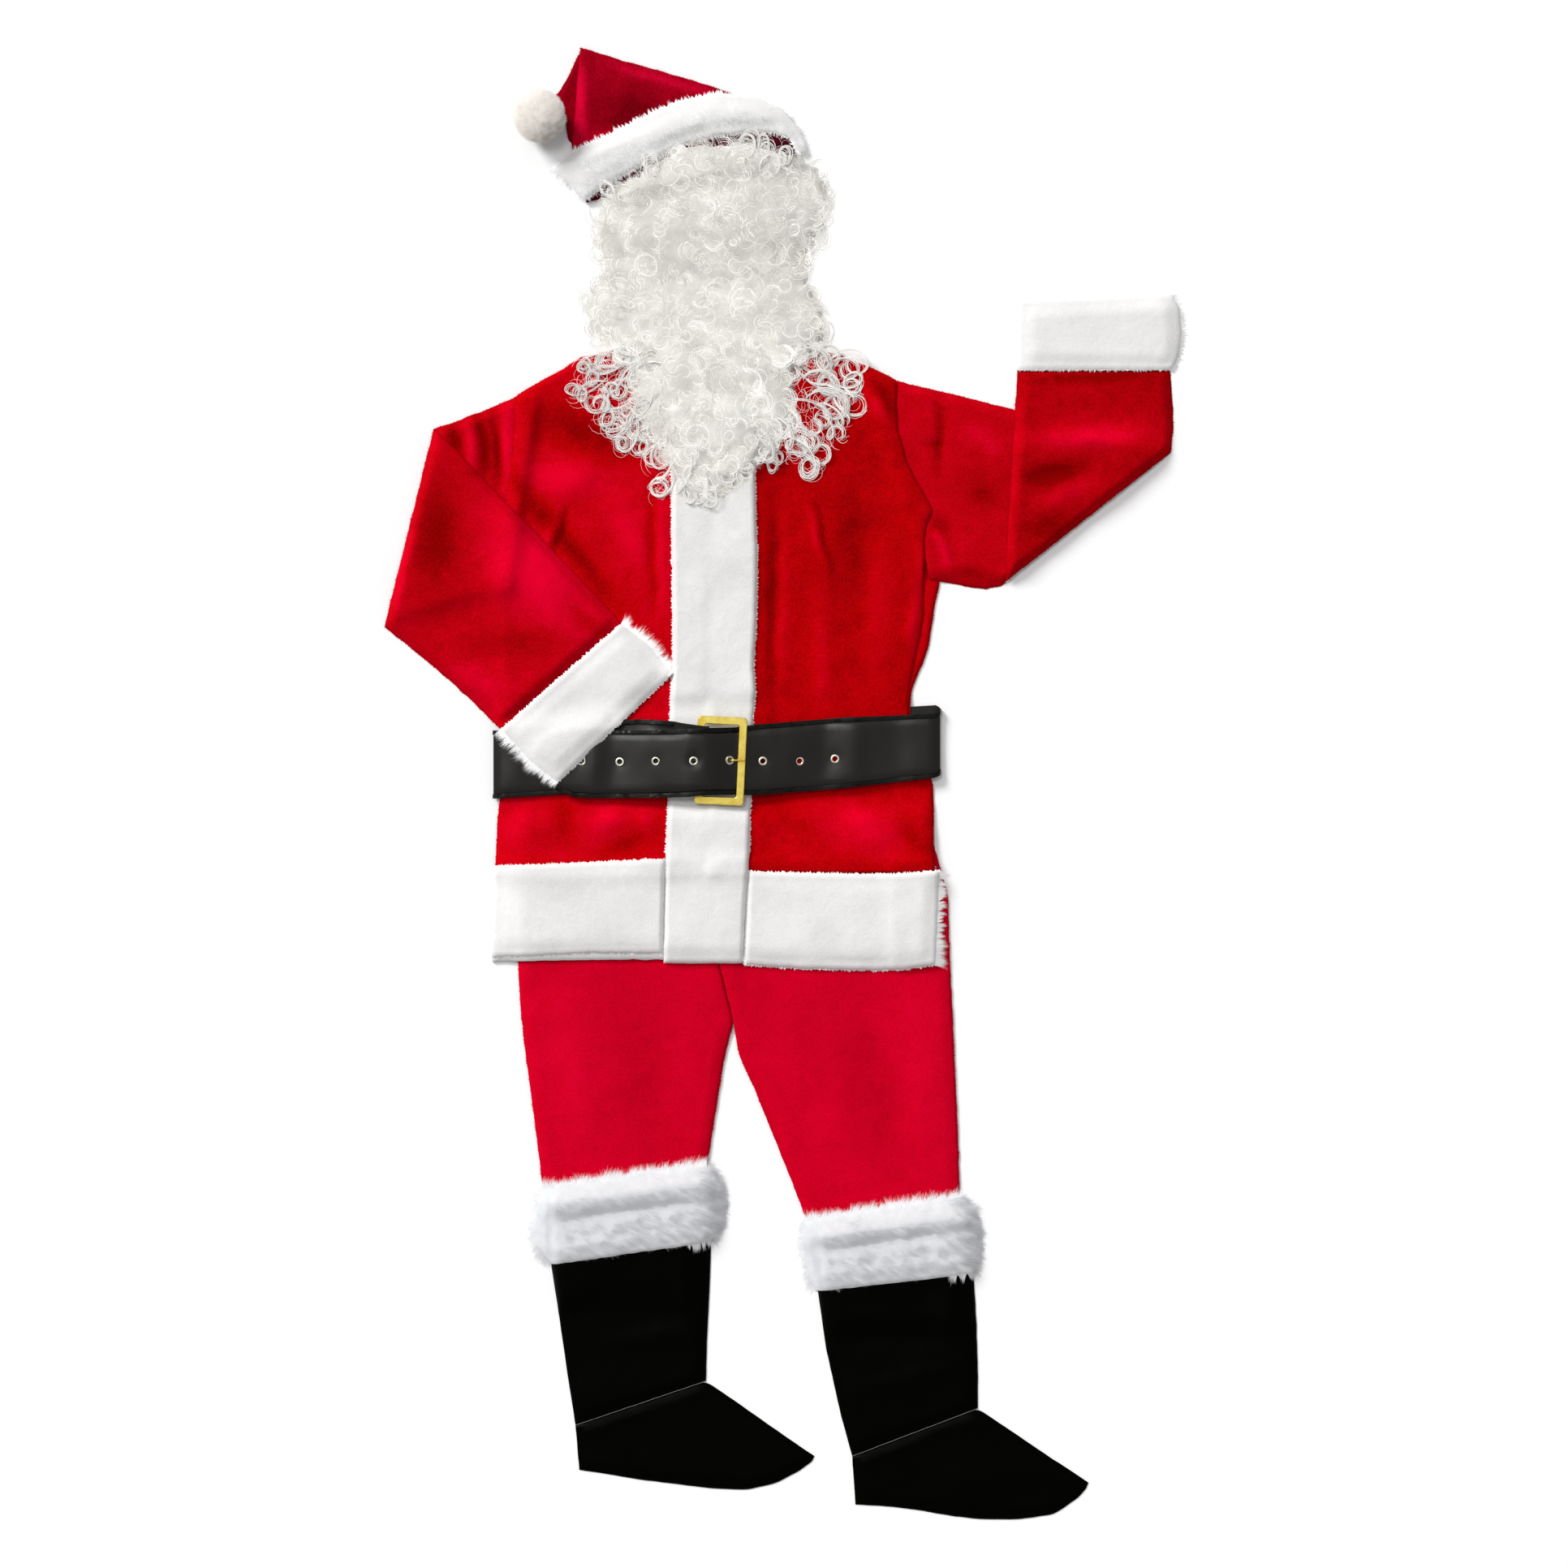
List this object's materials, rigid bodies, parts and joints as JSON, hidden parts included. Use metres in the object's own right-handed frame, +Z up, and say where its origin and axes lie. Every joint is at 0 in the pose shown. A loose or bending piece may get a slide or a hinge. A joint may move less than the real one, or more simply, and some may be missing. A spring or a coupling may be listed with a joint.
{
  "type": "santa suit",
  "caption": "Santa suit laid out flat: fur-trimmed red jacket with belt, trousers, hat with pompom, curly wig and beard, and fur-topped boot covers.",
  "frame": {"origin": "centre of the layout's footprint, on the surface that it lies on", "axes": "+Y along the layout from boots to hat, +Z up out of the surface, towards the front of the suit"},
  "size_m": [1.0825, 1.997, 0.068],
  "materials": {
    "red_velour": "short napped pile",
    "white_plush": "short curled plush pile",
    "white_fur": "long soft pile",
    "white_curls": "curled fibre",
    "belt_vinyl": "soft glossy vinyl",
    "boot_vinyl": "satin vinyl",
    "gold_metal": "bright plated"
  },
  "bodies": {
    "root": {"hat_tip": "red_velour", "hat_crown_back": "red_velour", "hat_crown_front": "red_velour", "hat_band_back": "white_plush", "hat_band_front": "white_plush", "hat_pompom": "white_plush", "wig": "white_curls", "beard": "white_curls", "jacket_back": "red_velour", "jacket_front_l": "red_velour", "jacket_front_r": "red_velour", "placket": "white_plush", "hem_band_l": "white_plush", "hem_band_r": "white_plush", "hem_band_back": "white_plush", "sleeve_l": "red_velour", "sleeve_r": "red_velour", "cuff_l": "white_plush", "cuff_r": "white_plush", "belt_strap": "belt_vinyl", "belt_binding_top": "belt_vinyl", "belt_binding_bottom": "belt_vinyl", "belt_buckle_frame": "gold_metal", "belt_buckle_prong": "gold_metal", "belt_eyelet_1": "gold_metal", "belt_eyelet_2": "gold_metal", "belt_eyelet_3": "gold_metal", "belt_eyelet_4": "gold_metal", "belt_eyelet_5": "gold_metal", "belt_eyelet_6": "gold_metal", "belt_eyelet_7": "gold_metal", "belt_eyelet_8": "gold_metal", "trouser_back_l": "red_velour", "trouser_front_l": "red_velour", "boot_l_shaft_under": "boot_vinyl", "boot_l_shaft_over": "boot_vinyl", "boot_l_foot_under": "boot_vinyl", "boot_l_foot_over": "boot_vinyl", "boot_l_fur": "white_fur", "trouser_back_r": "red_velour", "trouser_front_r": "red_velour", "boot_r_shaft_under": "boot_vinyl", "boot_r_shaft_over": "boot_vinyl", "boot_r_foot_under": "boot_vinyl", "boot_r_foot_over": "boot_vinyl", "boot_r_fur": "white_fur"}
  },
  "joints": []
}
